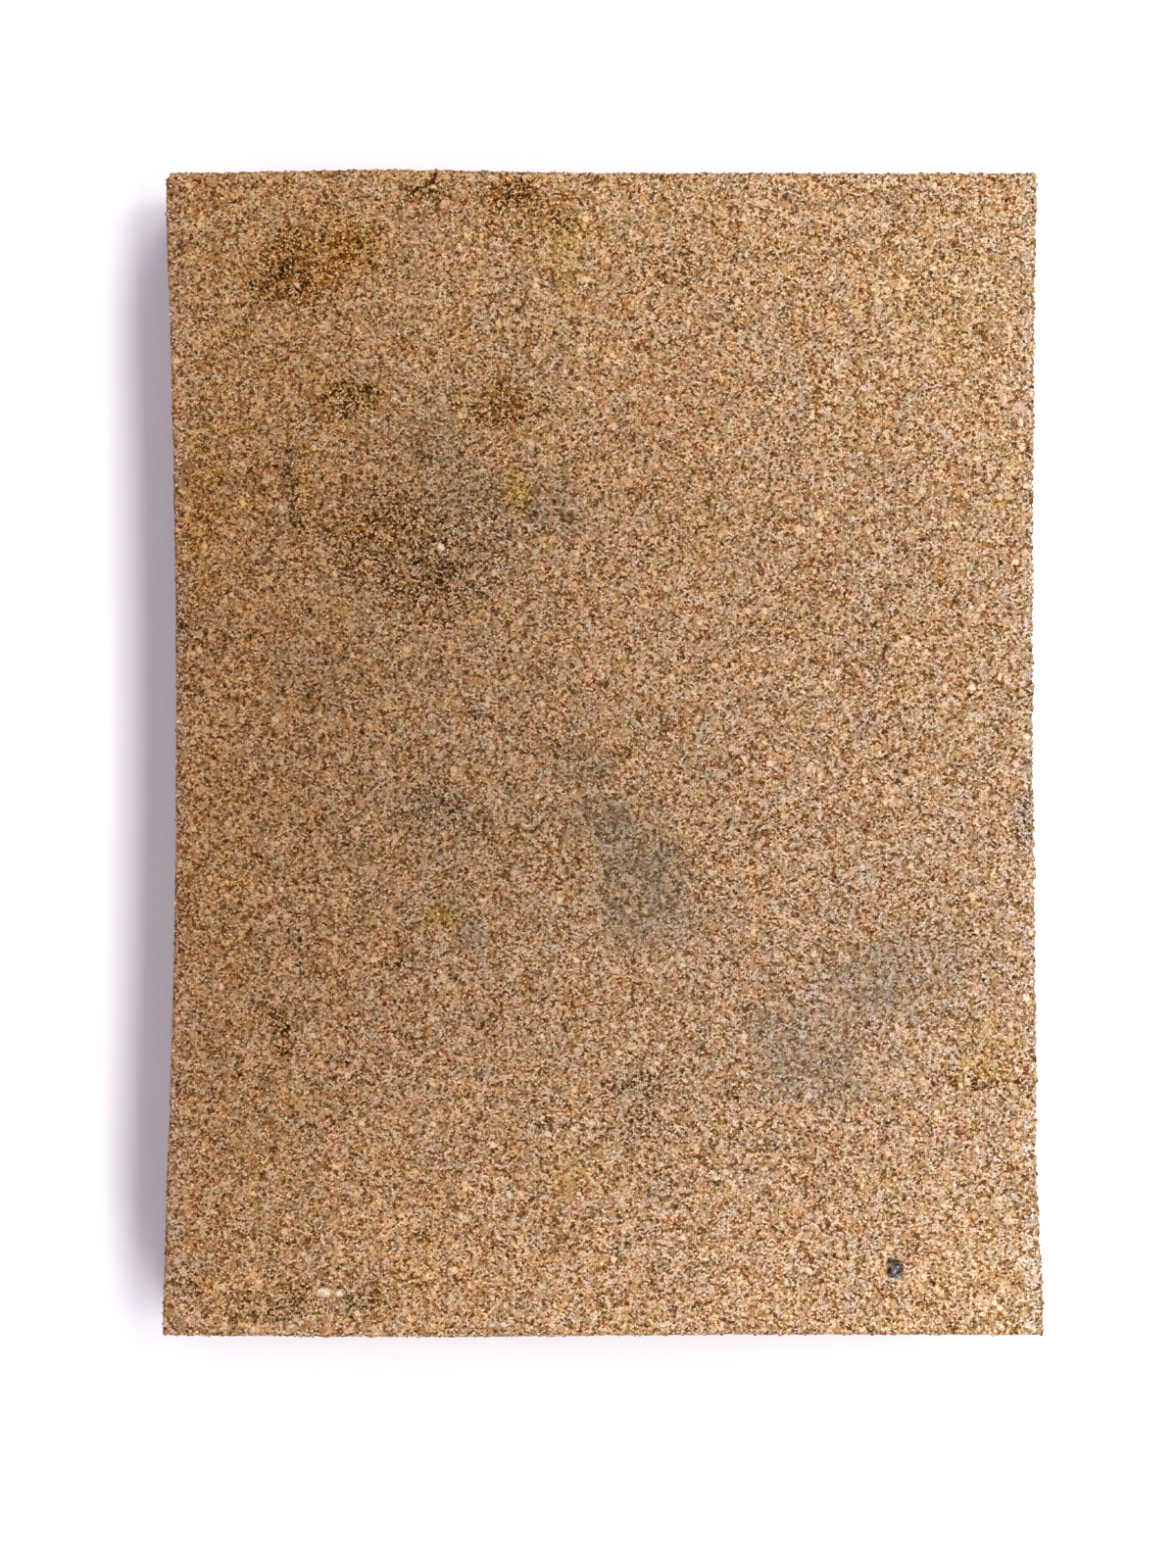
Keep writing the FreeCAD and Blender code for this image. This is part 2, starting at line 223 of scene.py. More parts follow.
class Graph:
    """Adds nodes to one node tree. An input may be a socket, which is linked, or a plain value."""

    def __init__(self, tree):
        self.tree = tree

    def node(self, kind, inputs=None, **settings):
        made = self.tree.nodes.new(kind)
        for name, value in settings.items():
            setattr(made, name, value)
        for key, value in (inputs or {}).items():
            socket = made.inputs[key]
            if isinstance(value, bpy.types.NodeSocket):
                self.tree.links.new(value, socket)
            else:
                socket.default_value = value
        return made

    def math(self, operation, first, second, clamp=False):
        inputs = {0: first, 1: second}
        return self.node("ShaderNodeMath", inputs, operation=operation, use_clamp=clamp).outputs[0]

    def vector(self, operation, first, second):
        return self.node("ShaderNodeVectorMath", {0: first, 1: second}, operation=operation).outputs[0]

    def scaled(self, vector, factor):
        return self.node("ShaderNodeVectorMath", {0: vector, "Scale": factor}, operation="SCALE").outputs[0]

    def part(self, vector, index):
        return self.node("ShaderNodeSeparateXYZ", {0: vector}).outputs[index]

    def noise(self, place, size, detail=2.0):
        inputs = {"Vector": place, "Scale": 1.0 / size, "Detail": detail}
        return self.node("ShaderNodeTexNoise", inputs, noise_dimensions="3D").outputs

    def cells(self, place, size, feature="F1"):
        inputs = {"Vector": place, "Scale": 1.0 / size, "Randomness": 1.0}
        return self.node("ShaderNodeTexVoronoi", inputs, voronoi_dimensions="3D", feature=feature).outputs

    def mapped(self, value, low, high, to_low=0.0, to_high=1.0, smooth=False):
        inputs = {"Value": value, "From Min": low, "From Max": high, "To Min": to_low, "To Max": to_high}
        kind = "SMOOTHSTEP" if smooth else "LINEAR"
        return self.node("ShaderNodeMapRange", inputs, interpolation_type=kind, clamp=True).outputs[0]

    def mix(self, factor, first, second):
        """Blends two numbers."""
        return self.node("ShaderNodeMix", {0: factor, 2: first, 3: second}, data_type="FLOAT").outputs[0]

    def mix_vector(self, factor, first, second):
        return self.node("ShaderNodeMix", {0: factor, 4: first, 5: second}, data_type="VECTOR").outputs[1]

    def tint(self, factor, first, second, blend="MIX"):
        """Blends two colours."""
        inputs = {0: factor, 6: first, 7: second}
        return self.node("ShaderNodeMix", inputs, data_type="RGBA", blend_type=blend).outputs[2]

    def ramp(self, factor, stops):
        made = self.node("ShaderNodeValToRGB", {0: factor})
        points = made.color_ramp.elements
        while len(points) < len(stops):
            points.new(1.0)
        for point, (at, colour) in zip(points, stops):
            point.position = at
            point.color = (*colour, 1.0)
        return made.outputs[0]


def granules(graph, place):
    """The granules at a place in millimetres: how far it is in from its granule's border, and that
    granule's three random numbers. The relief and the colour are both made from this, so they agree."""
    wobble = graph.noise(place, WARP_SIZE, detail=1.0)["Color"]
    shift = graph.scaled(graph.vector("SUBTRACT", wobble, (0.5, 0.5, 0.5)), WARP_REACH)
    warped = graph.vector("ADD", place, shift)
    small_border = graph.cells(warped, GRANULE, "DISTANCE_TO_EDGE")["Distance"]
    small_random = graph.cells(warped, GRANULE)["Color"]
    big_border = graph.cells(warped, BIG_GRANULE, "DISTANCE_TO_EDGE")["Distance"]
    big_random = graph.cells(warped, BIG_GRANULE)["Color"]
    is_big = graph.math("LESS_THAN", graph.part(big_random, 1), BIG_SHARE)
    small_inset = graph.math("MULTIPLY", small_border, GRANULE)
    big_inset = graph.math("MULTIPLY", big_border, BIG_GRANULE)
    inset = graph.mix(is_big, small_inset, big_inset)
    calmer = graph.vector("ADD", graph.scaled(big_random, CALM_SHARE), CALM_BASE)
    random = graph.mix_vector(is_big, small_random, calmer)
    return inset, random


def relief(graph, place, inset, random):
    """The height of the cork's surface in millimetres: pits at the borders, a step from granule to
    granule, and a fine roughness."""
    pit = graph.mapped(inset, 0.0, PIT_REACH, -PIT_RELIEF, 0.0, smooth=True)
    step = graph.mapped(graph.part(random, 2), 0.0, 1.0, -STEP_RELIEF, STEP_RELIEF)
    fine = graph.mapped(graph.noise(place, FINE_SIZE)["Fac"], 0.3, 0.7, -FINE_RELIEF, FINE_RELIEF)
    return graph.math("ADD", graph.math("ADD", pit, step), fine)


# ---------------------------------------------------------------- materials

def seen_as(red, green, blue):
    """The surface colour that the studio light shows as these 0 to 255 screen values."""
    def one(value):
        part = value / 255.0
        light = part / 12.92 if part <= 0.04045 else ((part + 0.055) / 1.055) ** 2.4
        return light / LIGHT_LEVEL
    return one(red), one(green), one(blue)


CORK_TONES = (
    (0.00, seen_as(80, 37, 0)),
    (0.12, seen_as(114, 73, 28)),
    (0.30, seen_as(153, 113, 68)),
    (0.55, seen_as(189, 151, 107)),
    (0.80, seen_as(214, 181, 143)),
    (1.00, seen_as(231, 201, 168)),
)
DUST = seen_as(176, 152, 124)
PALE_TONES = (
    (0.0, seen_as(170, 136, 96)),
    (0.4, seen_as(218, 190, 154)),
    (0.8, seen_as(238, 216, 184)),
    (1.0, seen_as(250, 236, 212)),
)
FIBRE_TONES = (
    (0.0, seen_as(70, 44, 28)),
    (0.5, seen_as(118, 84, 56)),
    (1.0, seen_as(170, 134, 98)),
)
GRIT_TONES = (
    (0.0, seen_as(16, 13, 13)),
    (0.3, seen_as(64, 60, 64)),
    (0.6, seen_as(112, 106, 113)),
    (0.85, seen_as(148, 143, 149)),
    (1.0, seen_as(206, 200, 204)),
)


def new_material(name):
    made = bpy.data.materials.new(name)
    made.use_nodes = True
    made.node_tree.nodes.clear()
    graph = Graph(made.node_tree)
    shader = graph.node("ShaderNodeBsdfPrincipled")
    output = graph.node("ShaderNodeOutputMaterial")
    made.node_tree.links.new(shader.outputs[0], output.inputs["Surface"])
    return made, graph, shader


def connect(graph, shader, colour, roughness, height, gloss):
    """Feeds a shader its colour, its roughness, its bump from a height in millimetres, and its gloss."""
    metres = graph.math("MULTIPLY", height, MM)
    bump = graph.node("ShaderNodeBump", {"Height": metres, "Distance": 1.0})
    graph.tree.links.new(colour, shader.inputs["Base Color"])
    graph.tree.links.new(roughness, shader.inputs["Roughness"])
    graph.tree.links.new(bump.outputs[0], shader.inputs["Normal"])
    shader.inputs["Specular IOR Level"].default_value = gloss


# The cork's colour. Sizes are in millimetres, and tints multiply the colour.
MOTTLE_SIZE = 0.16
MOTTLE = 0.18
ORANGE_TINT = (1.12, 0.97, 0.78, 1.0)
ORANGE_MOST = 0.13
GREY_TINT = (0.90, 1.02, 1.16, 1.0)
GREY_MOST = 0.09
# The gaps' tint is dark binder, with painted shade in the pits between granules.
GAP_TINT = (0.42, 0.29, 0.14, 1.0)
GAP_DEPTHS = (0.35, 0.95)            # how dark the gaps are, where they are palest and darkest
GAP_PATCH = 0.9
SPECK_TINT = (0.27, 0.22, 0.17, 1.0)
SPECK_SPACING = 1.25
SPECK_SHARE = 0.6
SPECK_RADII = (0.06, 0.22)
SPECK_WARP_SIZE = 0.4
SPECK_WARP = 0.55
HUE_PATCH = 1.4
WARM_REACH = (0.46, 0.13, -0.55)     # how far the colour wanders between grey and orange,
OLIVE_REACH = (-0.27, 0.15, -0.02)   # and between pink and olive
PICK = (0.7, 1.3)                    # how much dirt a granule takes up, next to its neighbours
UPTAKE = 6.0                         # how much more soaks into a granule the darker it is,
UPTAKE_POWER = 2.5
GAP_UPTAKE = 2.5                     # and into a gap
CORK_ROUGHNESS = (0.78, 0.97)
CORK_GLOSS = 0.08


def cork_material():
    made, graph, shader = new_material("pressed_cork")
    stored = graph.node("ShaderNodeAttribute", attribute_name="grain_place").outputs["Vector"]
    place = graph.scaled(stored, 1.0 / MM)
    film_and_painted_light = graph.node("ShaderNodeAttribute", attribute_name="film_and_painted_light").outputs
    soiling = graph.node("ShaderNodeAttribute", attribute_name="soiling").outputs["Color"]
    inset, random = granules(graph, place)
    fine = graph.noise(place, MOTTLE_SIZE)["Fac"]

    # A granule's own shade, with fine mottling inside it.
    mottled = graph.mapped(fine, 0.25, 0.75, -MOTTLE, MOTTLE)
    shade = graph.math("ADD", graph.part(random, 0), mottled, clamp=True)
    colour = graph.ramp(shade, CORK_TONES)

    # Some granules lean to orange, and some to grey.
    warmth = graph.part(random, 1)
    orange = graph.mapped(warmth, 0.75, 1.0, 0.0, ORANGE_MOST)
    colour = graph.tint(orange, colour, ORANGE_TINT, "MULTIPLY")
    grey = graph.mapped(warmth, 0.25, 0.0, 0.0, GREY_MOST)
    colour = graph.tint(grey, colour, GREY_TINT, "MULTIPLY")

    # Dark gaps between granules, deeper in some places than in others: dark binder, with painted shade in
    # their pits.
    patchy = graph.mapped(graph.noise(place, GAP_PATCH)["Fac"], 0.35, 0.65, *GAP_DEPTHS)
    open_gap = graph.mapped(inset, 0.0, GAP, 1.0, 0.0, smooth=True)
    gap = graph.math("MULTIPLY", open_gap, patchy)
    colour = graph.tint(gap, colour, GAP_TINT, "MULTIPLY")

    # Scattered near-black specks of bark.
    ragged = graph.scaled(graph.noise(place, SPECK_WARP_SIZE, detail=1.0)["Color"], SPECK_WARP)
    speck_cells = graph.cells(graph.vector("ADD", place, ragged), SPECK_SPACING)
    is_speck = graph.math("LESS_THAN", graph.part(speck_cells["Color"], 0), SPECK_SHARE)
    speck_size = graph.mapped(graph.part(speck_cells["Color"], 1), 0.0, 1.0, *SPECK_RADII)
    speck = graph.math("LESS_THAN", speck_cells["Distance"], speck_size)
    speck = graph.math("MULTIPLY", speck, is_speck)
    colour = graph.tint(speck, colour, SPECK_TINT, "MULTIPLY")

    # Patches that lean to orange or grey, and to pink or olive.
    wander = graph.vector("SUBTRACT", graph.noise(place, HUE_PATCH)["Color"], (0.5, 0.5, 0.5))
    warm = graph.scaled(WARM_REACH, graph.part(wander, 0))
    olive = graph.scaled(OLIVE_REACH, graph.part(wander, 1))
    wander = graph.vector("ADD", graph.vector("ADD", warm, olive), (1.0, 1.0, 1.0))
    colour = graph.vector("MULTIPLY", colour, wander)

    # A thin film of dirt lies over all the granules, a little more on some than on others. Where it is
    # thick, its own dusty colour shows. The same attribute also carries the painted light and shade: the
    # upper face's lean and rims, the pit's painted shadow and the sides' painted shade at the arrises.
    pick = graph.mapped(graph.part(random, 2), 0.0, 1.0, *PICK)
    colour = graph.tint(film_and_painted_light["Alpha"], (*DUST, 1.0), colour)
    covered = graph.node("ShaderNodeGamma", {"Color": film_and_painted_light["Color"], "Gamma": pick}).outputs[0]
    colour = graph.tint(1.0, colour, covered, "MULTIPLY")

    # Soaked-in soiling darkens the dark granules far more than the pale ones, and the gaps most.
    uptake = graph.math("POWER", graph.math("SUBTRACT", 1.0, shade, clamp=True), UPTAKE_POWER)
    uptake = graph.math("MULTIPLY", graph.math("MULTIPLY", uptake, UPTAKE), pick)
    uptake = graph.math("ADD", uptake, graph.math("MULTIPLY", open_gap, GAP_UPTAKE))
    taken = graph.node("ShaderNodeGamma", {"Color": soiling, "Gamma": uptake}).outputs[0]
    colour = graph.tint(1.0, colour, taken, "MULTIPLY")
    rough = graph.mapped(graph.math("ADD", shade, gap), 0.0, 1.4, *CORK_ROUGHNESS)
    connect(graph, shader, colour, rough, relief(graph, place, inset, random), CORK_GLOSS)
    return made


# ---------------------------------------------------------------- the cork block

def grid_lines(low, high, fine_spots=()):
    """Even grid lines between two faces, closer together next to each face and around fine spots."""
    rim = np.array(RIM_LINES)
    count = round((high - low - 2.0 * rim[-1]) / GRID_STEP)
    middle = np.linspace(low + rim[-1], high - rim[-1], count + 1)
    lines = np.concatenate([low + rim[:-1], middle, high - rim[-2::-1]])
    for spot in fine_spots:
        near = np.abs(lines[:-1] - spot) < FINE_REACH
        starts, steps = lines[:-1][near], np.diff(lines)[near]
        lines = np.sort(np.concatenate([lines, starts + steps / 3.0, starts + steps * 2.0 / 3.0]))
    return lines


def box_skin(xs, ys, zs):
    """A box's six faces as one closed grid: its points, and its quads with outward normals."""
    skin = np.zeros((len(xs), len(ys), len(zs)), bool)
    for axis in range(3):
        for end in (0, -1):
            skin[(slice(None),) * axis + (end,)] = True
    number = np.full(skin.shape, -1)
    number[skin] = np.arange(skin.sum())
    i, j, k = np.nonzero(skin)
    quads = []
    for axis in range(3):
        for end in (0, -1):
            sheet = np.take(number, end, axis)
            ring = np.stack([sheet[:-1, :-1], sheet[1:, :-1], sheet[1:, 1:], sheet[:-1, 1:]], -1)
            ring = ring.reshape(-1, 4)
            if (axis == 1) != (end == 0):
                ring = ring[:, ::-1]
            quads.append(ring)
    return np.stack([xs[i], ys[j], zs[k]], 1), np.concatenate(quads)


def add_bake_map(mesh, points, quads, low, high):
    """A UV map for baking: each of the box's faces is one rectangle, and the upper face has the largest
    scale. The points are the straight box's, so nothing overlaps."""
    corners = points[quads]
    places = np.zeros((len(quads), 4, 2))
    for (axis, end), (left, bottom, scale, swapped) in CHARTS.items():
        level = high[axis] if end else low[axis]
        on_face = (np.abs(corners[:, :, axis] - level) < TINY).all(axis=1)
        first, second = (other for other in range(3) if other != axis)
        across = corners[on_face][:, :, first] - low[first]
        up = corners[on_face][:, :, second] - low[second]
        if swapped:
            across, up = up, across
        if (axis == 1) ^ (end == 0) ^ swapped:
            across = across.max() - across
        places[on_face] = np.stack([left + scale * across, bottom + scale * up], -1) / MAP_PARTS
    layer = mesh.uv_layers.new(name="OFBake")
    layer.uv.foreach_set("vector", places.astype(np.float32).ravel())


def rounded(points, low, high, radius):
    """Turns the square corner zones of a box into round ones of the given radius."""
    inner = np.clip(points, low + radius, high - radius)
    away = points - inner
    reach = np.linalg.norm(away, axis=1)
    largest = np.abs(away).max(axis=1)
    scale = np.where(reach > TINY, largest / np.maximum(reach, TINY), 1.0)
    return inner + away * scale[:, None]


def wave(side, at):
    """How far a side stands out at a place along it."""
    height, length, seed = WAVES[side]
    return height * drift(at, 0.0 * at, length, seed)


def worn_outline(points):
    """Moves a straight box's points to the worn outline: hollow sides, and slightly wavy ends."""
    across = (points[:, 0] - BLOCK_LOW.x) / BLOCK_SIZE.x
    along = (points[:, 1] - BLOCK_LOW.y) / BLOCK_SIZE.y
    hollow = np.clip(4.0 * along * (1.0 - along), 0.0, 1.0)
    left = BLOCK_LOW.x + HEAD_INSET[0] * along + LEFT_WEAR * hollow ** LEFT_WEAR_SHAPE
    right = BLOCK_HIGH.x - HEAD_INSET[1] * along - RIGHT_WEAR * hollow - swell(along, *RIGHT_DIP)
    left = left - SIDE_PROUD + wave("left", points[:, 1])
    right = right + RIGHT_PROUD + wave("right", points[:, 1])
    x = left + (right - left) * across
    head = BLOCK_HIGH.y - HEAD_DROP + swell(x, *HEAD_SWELL) + wave("head", x)
    foot = BLOCK_LOW.y + FOOT_DROP - swell(x, *FOOT_SWELL) + wave("foot", x)
    points = points.copy()
    points[:, 0] = x
    points[:, 1] = foot + (head - foot) * along
    return points


def chip_seat(name):
    low, high = (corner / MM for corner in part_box(name))
    middle = (low + high) / 2.0
    return middle.x, middle.y, CHIP_SEAT_SHARE * (high.x - low.x), CHIP_SEAT_DEPTH


def seats():
    """The hollows under what is lodged in the upper face: x, y, radius and depth of each."""
    x, y, radius, depth = GRIT_SEAT
    return [(GRIT.x + x, GRIT.y + y, radius, depth), *(chip_seat(name) for name in CHIPS)]


def block_points(points):
    """The block's final smooth shape, before its grain is raised."""
    low, high = np.array(BLOCK_LOW), np.array(BLOCK_HIGH)
    points = rounded(points, low, high, ARRIS_RADIUS)
    for (side, end), radius in CORNER_RADIUS.items():
        near = (points[:, 0] * side > 0.0) & (points[:, 1] * end > 0.0)
        flat = points[near][:, :2]
        points[near, :2] = rounded(flat, low[:2], high[:2], radius)
    points = worn_outline(points)
    on_top = smoothstep(BLOCK_HIGH.z - TOP_ZONE, BLOCK_HIGH.z, points[:, 2])
    points[:, 2] += DIP_DEPTH * on_top * (layered_drift(points[:, 0], points[:, 1], DIP_SIZE, 21) - 1.0)
    for x, y, radius, depth in seats():
        away = np.hypot(points[:, 0] - x, points[:, 1] - y)
        points[:, 2] -= depth * on_top * smoothstep(radius, SEAT_FLOOR * radius, away)
    return points


def raise_grain(piece):
    """Moves a mesh's points by the cork's relief with Geometry Nodes, and keeps each one's first place
    for the material to read. The result is made into a plain mesh, so no modifier is left."""
    tree = bpy.data.node_groups.new("raise_grain", "GeometryNodeTree")
    tree.interface.new_socket("Geometry", in_out="INPUT", socket_type="NodeSocketGeometry")
    tree.interface.new_socket("Geometry", in_out="OUTPUT", socket_type="NodeSocketGeometry")
    graph = Graph(tree)
    start = graph.node("NodeGroupInput").outputs[0]
    position = graph.node("GeometryNodeInputPosition").outputs[0]
    stored = graph.node(
        "GeometryNodeStoreNamedAttribute",
        {"Geometry": start, "Name": "grain_place", "Value": position},
        data_type="FLOAT_VECTOR",
        domain="POINT",
    )
    place = graph.scaled(position, 1.0 / MM)
    inset, random = granules(graph, place)
    coarseness = graph.node("GeometryNodeInputNamedAttribute", {"Name": "coarseness"}, data_type="FLOAT")
    height = graph.math("MULTIPLY", relief(graph, place, inset, random), coarseness.outputs[0])
    height = graph.math("MULTIPLY", height, MM)
    offset = graph.scaled(graph.node("GeometryNodeInputNormal").outputs[0], height)
    moved = graph.node("GeometryNodeSetPosition", {"Geometry": stored.outputs[0], "Offset": offset})
    graph.node("NodeGroupOutput", {0: moved.outputs[0]})
    modifier = piece.modifiers.new("raise_grain", "NODES")
    modifier.node_group = tree
    bpy.context.view_layer.update()
    graph_now = bpy.context.evaluated_depsgraph_get()
    shown = piece.evaluated_get(graph_now)
    raised = bpy.data.meshes.new_from_object(shown, preserve_all_data_layers=True, depsgraph=graph_now)
    piece.modifiers.clear()
    piece.data = raised
    bpy.data.node_groups.remove(tree)


def side_coarseness(points):
    """How rough the cork is at each point: 1 on the upper face, and each side's own value there."""
    x, y, z = points.T
    below = 1.0 - smoothstep(BLOCK_HIGH.z - TOP_RIM, BLOCK_HIGH.z, z)
    part = RIM_COARSENESS + (1.0 - RIM_COARSENESS) * below
    total = np.ones(len(x))
    beyond = {
        "left": BLOCK_LOW.x - x,
        "right": x - BLOCK_HIGH.x,
        "foot": BLOCK_LOW.y - y,
        "head": y - BLOCK_HIGH.y,
    }
    for side, out in beyond.items():
        total += (SIDE_COARSENESS[side] - 1.0) * smoothstep(0.0, 0.3, out + SIDE_BAND[side]) * part
    return total


# Soiling on the upper face. Each kind multiplies the cork's colour by its tint, and each patch is
# (x, y, half width, half length, strength). Some kinds have soaked in. Others are a film, whose fourth
# number is how much of the granules shows through it.
SOAKED = {
    "burnt": ((0.66, 0.58, 0.40), (
        (-32.2, 48.3, 3.3, 2.0, 0.76), (-32.8, 51.6, 1.7, 2.8, 0.56), (-28.4, 51.6, 5.0, 2.5, 0.16),
        (-8.6, 57.2, 3.5, 1.6, 0.70), (-17.9, 57.9, 2.0, 1.3, 0.85), (-4.0, 54.9, 0.9, 0.9, 0.60),
        (-26.2, 36.6, 2.5, 1.6, 0.75), (-10.3, 35.9, 3.8, 1.8, 0.38), (-31.8, 27.4, 0.8, 7.0, 0.30),
        (-31.6, 24.3, 1.0, 2.0, 0.35), (-22.5, 22.4, 5.4, 4.2, 0.48), (-17.6, 17.6, 4.8, 3.2, 0.44),
        (-39.9, 11.5, 1.3, 1.3, 0.40), (-24.2, -56.7, 2.5, 1.4, 0.45), (6.6, 49.9, 2.4, 1.6, 0.40),
        (-18.7, -50.1, 1.2, 0.9, 0.45), (-32.8, -28.9, 1.0, 2.6, 0.75), (-21.2, -21.6, 1.4, 0.8, 0.90),
        (38.4, -34.0, 4.6, 0.7, 0.50), (-34.0, -56.4, 3.6, 1.8, 0.35), (-28.4, -55.0, 0.9, 0.24, 1.00),
    )),
    "rust": ((0.93, 0.85, 0.55), (
        (-29.4, 50.9, 5.2, 3.8, 0.76), (-25.0, 52.0, 3.4, 2.4, 0.66), (-30.9, 47.9, 2.4, 1.6, 0.50),
        (-32.4, 51.2, 2.4, 3.2, 0.30), (-9.0, 56.5, 4.0, 2.6, 0.65),
        (-26.3, 36.8, 3.0, 2.2, 0.55), (-10.1, 35.6, 4.4, 2.6, 0.50), (-24.0, 23.6, 5.6, 3.4, 0.35),
        (-30.6, 27.5, 1.6, 5.0, 0.30), (6.6, 49.6, 2.6, 2.0, 0.30), (39.9, -32.6, 4.0, 1.6, 0.40),
        (-19.6, -54.8, 2.6, 2.0, 0.25), (-40.6, 25.0, 2.2, 6.0, 0.30),
    )),
    "soot": ((0.68, 0.68, 0.69), (
        (-14.0, 21.4, 5.6, 4.4, 0.40), (-9.6, 24.6, 3.0, 2.2, 0.30), (-12.6, 4.4, 1.6, 1.2, 0.45),
        (-16.4, -6.0, 3.8, 3.2, 0.45), (3.5, -33.9, 3.2, 1.5, 0.45), (4.5, -36.5, 1.5, 2.0, 0.45),
        (43.4, -6.7, 1.0, 2.5, 0.55), (-5.1, -38.5, 2.6, 0.6, 0.45), (-42.8, 13.0, 1.2, 6.0, 0.25),
        (-28.8, -56.2, 6.5, 2.2, 0.25), (6.0, -38.9, 6.0, 0.8, 0.25), (17.6, -8.0, 5.0, 3.0, 0.12),
    )),
}
FILMS = {
    "olive": ((0.54, 0.64, 0.68, 0.86), (
        (4.2, -13.2, 5.4, 6.2, 0.71), (-1.0, -7.0, 3.3, 2.2, 0.55), (-2.0, -0.6, 3.4, 2.6, 0.40),
        (17.0, -29.0, 3.4, 4.4, 0.40), (25.8, -24.8, 4.8, 3.8, 0.32), (32.0, -22.5, 6.8, 4.4, 0.32),
        (24.5, -33.5, 6.0, 3.0, 0.32),
    )),
    "slate": ((0.66, 0.75, 0.84, 0.88), (
        (21.6, -30.2, 4.8, 4.0, 0.45), (-13.1, -18.8, 1.6, 1.4, 0.55),
    )),
    "ash": ((0.66, 0.74, 0.82, 1.0), (
        (-5.2, 25.4, 3.1, 3.6, 0.62), (-17.4, 31.6, 4.6, 5.0, 0.42), (-28.8, 9.2, 4.4, 3.4, 0.36),
        (-13.0, 26.5, 4.0, 2.5, 0.50),
    )),
    "yellow": ((0.97, 0.96, 0.55, 0.95), (
        (-2.7, 53.6, 3.3, 2.9, 0.60), (-4.2, 47.5, 1.6, 6.0, 0.35), (-9.1, 27.3, 1.7, 1.9, 0.95),
        (-16.2, -16.8, 1.8, 1.6, 0.85), (36.9, -54.1, 5.0, 4.0, 0.24), (-2.5, -43.0, 3.0, 2.5, 0.30),
        (33.8, 48.9, 7.0, 5.0, 0.20), (36.9, 42.8, 3.0, 3.0, 0.25), (26.8, 34.7, 3.0, 3.0, 0.25),
        (10.6, 22.6, 2.8, 2.6, 0.35), (38.9, -30.4, 2.6, 3.0, 0.40), (-38.9, -13.0, 3.0, 12.0, 0.25),
        (-41.0, 22.0, 2.0, 8.0, 0.35), (-36.0, -40.0, 4.0, 6.0, 0.20),
    )),
}

# The pale grey smear under the lodged grit, and the painted shadow in the open pit to its left and above
# it.
SMEAR = ((1.00, 1.22, 1.65, 0.45), ((29.85, -53.98, 0.52, 0.34, 1.0),))
PIT_PAINTED_SHADOW = ((0.13, 0.10, 0.08, 1.0), ((29.50, -52.80, 0.26, 0.75, 2.2), (29.98, -52.30, 0.66, 0.17, 2.2)))

# The upper face's colour changes: its middle's own, and how it grows towards the right side, towards both
# ends, and from the foot to the head. The growth towards the right side is painted light: the face is
# painted lighter and paler where the lamps on the right fall. Each rim is where its change begins and is
# full, along x.
HALF_WIDTH = 45.0
HALF_LENGTH = 60.0
FACE_BASE = (0.985, 0.99, 1.02)
FACE_LIGHT_LEAN = (0.275, 0.365, 0.505)
FACE_ENDS = (0.25, 0.28, 0.29)
FACE_TIP = (-0.05, -0.07, -0.13)
# Both rims are painted light: bluer and paler where the light from the floor shows at the edges.
PAINTED_LIGHT_RIMS = (
    (42.6, 44.0, (0.03, 0.18, 0.47)),
    (-42.4, -43.5, (0.0, 0.03, 0.17)),
)

# Wide, faint changes of shade over the upper face: x and its spread, y and its spread, and the change.
SHADES = (
    (-46.0, 12.0, 2.0, 34.0, (0.12, 0.12, 0.12)),
    (-21.0, 14.0, 8.0, 34.0, (-0.03, -0.02, -0.02)),
    (30.0, 18.0, -25.0, 15.0, (-0.06, -0.05, 0.02)),
    (-10.0, 13.0, -8.0, 11.0, (-0.07, -0.05, -0.03)),
    (-25.0, 20.0, -53.0, 9.0, (0.06, 0.06, 0.02)),
    (-43.0, 8.0, 42.0, 12.0, (0.07, 0.08, 0.08)),
    (25.0, 22.0, 52.0, 10.0, (-0.06, -0.06, -0.06)),
)

# How uneven a stain's patch is.
STAIN_WARP = 2.6                 # the size of the bends in its outline, and of its mottling
STAIN_MOTTLE = 1.1
STAIN_BEND = 0.6                 # how far the outline bends, as a share of the stain's half size,
STAIN_BEND_SIZE = 2.5            # or of this where the stain is larger
STAIN_REACH = 1.15
STAIN_FADE = (1.35, 0.35)        # a stain begins at the first of these, and is full at the second
EDGE_MOTTLE = 0.22
INNER_MOTTLE = 0.45
HUE_DRIFT = (0.015, 0.0, -0.03)  # the whole upper face's faint changes of hue, and of shade
HUE_DRIFT_SIZE = 7.0
SHADE_DRIFT = 0.03
SHADE_DRIFT_SIZE = 5.0

# The sides' grime, with painted shade next to the arrises: the shade at the arrises, how much paler it is
# inwards, and its blotches.
GRIME_AND_SHADE_AT_ARRIS = 0.74
GRIME_AND_SHADE_EASE = 0.22
GRIME_AND_SHADE_REACH = (0.3, 4.0)
GRIME_BLOTCH = 0.07
GRIME_BLOTCH_SIZE = 6.0
GRIME_HUE = (1.0, 0.97, 0.93)
UPPER_FADE = (0.8, 0.1)          # how far under the upper face its own colour begins, and is full


